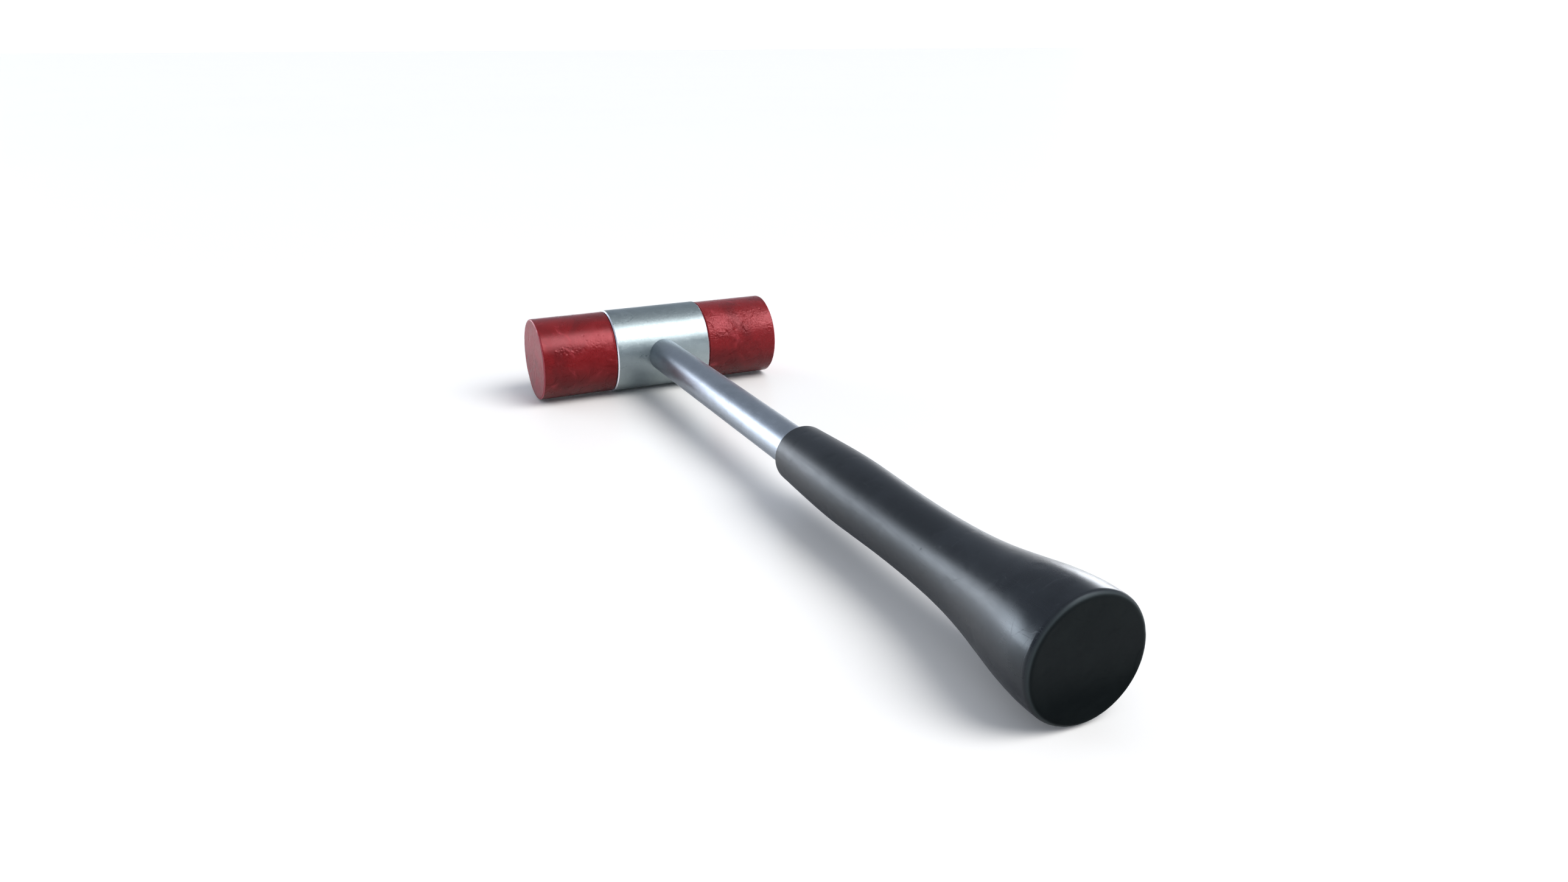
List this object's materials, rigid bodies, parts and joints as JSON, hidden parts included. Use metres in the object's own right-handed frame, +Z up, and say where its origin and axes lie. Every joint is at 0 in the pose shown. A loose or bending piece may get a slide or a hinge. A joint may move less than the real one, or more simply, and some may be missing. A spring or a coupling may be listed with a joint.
{
  "type": "soft-face hammer",
  "caption": "Soft-face hammer with a steel barrel head, screw-in red plastic striking caps, a tubular steel handle and a flared black rubber grip.",
  "frame": {"origin": "on the supporting surface, under the middle of the hammer as it lies with its handle level", "axes": "+X along the head towards the right cap, +Y from the butt towards the head, +Z up"},
  "size_m": [0.1064, 0.3126, 0.0356],
  "materials": {
    "barrel_steel": "fine satin",
    "cap_plastic": "satin, with dents and scuffs",
    "stud_steel": "zinc plated",
    "ring_rubber": "matt",
    "tube_steel": "drawn, satin",
    "plug_steel": "turned",
    "pin_steel": "blackened",
    "grip_rubber": "matt, scuffed",
    "plug_plastic": "moulded"
  },
  "bodies": {
    "hammer": {"head_body": "barrel_steel", "handle_tube": "tube_steel", "handle_core_plug": "plug_steel", "handle_lock_pin": "pin_steel", "grip": "grip_rubber", "handle_end_plug": "plug_plastic"},
    "left_seal": {"left_face_o_ring": "ring_rubber"},
    "left_cap": {"left_face": "cap_plastic", "left_face_stud": "stud_steel"},
    "right_seal": {"right_face_o_ring": "ring_rubber"},
    "right_cap": {"right_face": "cap_plastic", "right_face_stud": "stud_steel"}
  },
  "joints": [
    {"name": "left_face_travel", "type": "slide", "parent": "hammer", "child": "left_seal", "axis": [-1, 0, 0], "range_m": [0, 0.01]},
    {"name": "left_face_turn", "type": "hinge", "parent": "left_seal", "child": "left_cap", "pos_m": [0, 0.1385, 0.0178], "axis": [-1, 0, 0], "range_deg": [0, 1800]},
    {"name": "right_face_travel", "type": "slide", "parent": "hammer", "child": "right_seal", "axis": [1, 0, 0], "range_m": [0, 0.01]},
    {"name": "right_face_turn", "type": "hinge", "parent": "right_seal", "child": "right_cap", "pos_m": [0, 0.1385, 0.0178], "axis": [1, 0, 0], "range_deg": [0, 1800]}
  ],
  "couplings": [
    {"joint": "left_face_turn", "follows": "left_face_travel", "rad_per_m": 3141.6},
    {"joint": "right_face_turn", "follows": "right_face_travel", "rad_per_m": 3141.6}
  ]
}
